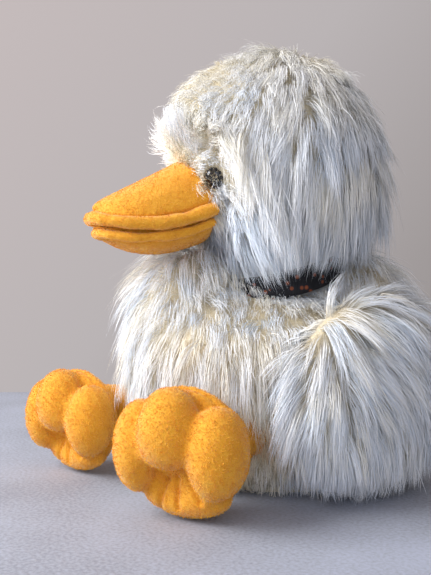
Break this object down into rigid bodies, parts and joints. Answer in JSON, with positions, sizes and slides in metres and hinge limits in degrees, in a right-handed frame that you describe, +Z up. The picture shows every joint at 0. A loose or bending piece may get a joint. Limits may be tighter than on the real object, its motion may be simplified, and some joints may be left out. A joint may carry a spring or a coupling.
{
  "type": "plush duck",
  "caption": "Sitting long-pile plush duck with a padded bill, printed neck band, soft wings, stuffed legs and three-toed padded feet.",
  "frame": {"origin": "on the floor, at the centre of the flat round seat panel that the duck sits on", "axes": "+Z up; the duck faces -Y and its own left side is +X"},
  "size_m": [0.267, 0.3288, 0.336],
  "materials": {
    "long_pile_fur": "cream long-pile acrylic faux fur",
    "short_pile_plush": "marigold short-pile minky plush",
    "seat_cloth": "cream brushed tricot",
    "printed_cotton": "black printed cotton with small rust flecks",
    "safety_eye": "black moulded ABS, high gloss",
    "eye_washer": "natural polypropylene",
    "fibre_filling": "white polyester fibre filling",
    "bean_bag": "non-woven bag of plastic pellets"
  },
  "bodies": {
    "torso": {"body_fur_shell": "long_pile_fur", "seat_panel": "seat_cloth", "seat_bean_bag": "bean_bag", "body_filling": "fibre_filling"},
    "neck": {"neck_filling": "fibre_filling", "neck_band": "printed_cotton"},
    "head": {"head_fur_shell": "long_pile_fur", "head_filling": "fibre_filling", "bill_upper": "short_pile_plush", "bill_upper_lip": "short_pile_plush", "bill_lower": "short_pile_plush", "bill_lower_lip": "short_pile_plush", "eye_left": "safety_eye", "eye_right": "safety_eye", "eye_washer_left": "eye_washer", "eye_washer_right": "eye_washer"},
    "wing_left": {"wing_left_outer": "long_pile_fur", "wing_left_lining": "long_pile_fur"},
    "wing_right": {"wing_right_outer": "long_pile_fur", "wing_right_lining": "long_pile_fur"},
    "leg_left": {"leg_left_tube": "short_pile_plush", "leg_left_filling": "fibre_filling"},
    "leg_right": {"leg_right_tube": "short_pile_plush", "leg_right_filling": "fibre_filling"},
    "foot_left": {"foot_left_sole_panel": "short_pile_plush", "foot_left_top_panel": "short_pile_plush", "foot_left_filling": "fibre_filling"},
    "foot_right": {"foot_right_sole_panel": "short_pile_plush", "foot_right_top_panel": "short_pile_plush", "foot_right_filling": "fibre_filling"},
    "tail": {"tail_fur": "long_pile_fur"}
  },
  "joints": [
    {"name": "neck_turn", "type": "hinge", "parent": "torso", "child": "neck", "pos_m": [0, 0, 0.158], "axis": [0, 0, 1], "range_deg": [-20, 45], "stiffness_Nm_per_rad": 0.4},
    {"name": "head_nod", "type": "hinge", "parent": "neck", "child": "head", "pos_m": [0, 0, 0.158], "axis": [0.9744, -0.225, 0], "range_deg": [-10, 10], "stiffness_Nm_per_rad": 1.2},
    {"name": "wing_left_lift", "type": "hinge", "parent": "torso", "child": "wing_left", "pos_m": [0.089, 0, 0.152], "axis": [0, -1, 0], "range_deg": [0, 60]},
    {"name": "wing_right_lift", "type": "hinge", "parent": "torso", "child": "wing_right", "pos_m": [-0.089, 0, 0.152], "axis": [0, 1, 0], "range_deg": [0, 60]},
    {"name": "leg_left_lift", "type": "hinge", "parent": "torso", "child": "leg_left", "pos_m": [0.052, -0.07, 0.047], "axis": [-1, 0, 0], "range_deg": [0, 15]},
    {"name": "leg_right_lift", "type": "hinge", "parent": "torso", "child": "leg_right", "pos_m": [-0.05, -0.07, 0.047], "axis": [-1, 0, 0], "range_deg": [0, 15]},
    {"name": "foot_left_fold", "type": "hinge", "parent": "leg_left", "child": "foot_left", "pos_m": [0.0575, -0.11135, 0.047], "axis": [-0.866, -0.5, 0], "range_deg": [0, 10]},
    {"name": "foot_right_fold", "type": "hinge", "parent": "leg_right", "child": "foot_right", "pos_m": [-0.08331, -0.12209, 0.047], "axis": [-0.9563, -0.2924, 0], "range_deg": [0, 10]},
    {"name": "tail_lift", "type": "hinge", "parent": "torso", "child": "tail", "pos_m": [0, 0.106, 0.044], "axis": [1, 0, 0], "range_deg": [-12, 12], "stiffness_Nm_per_rad": 0.05}
  ]
}
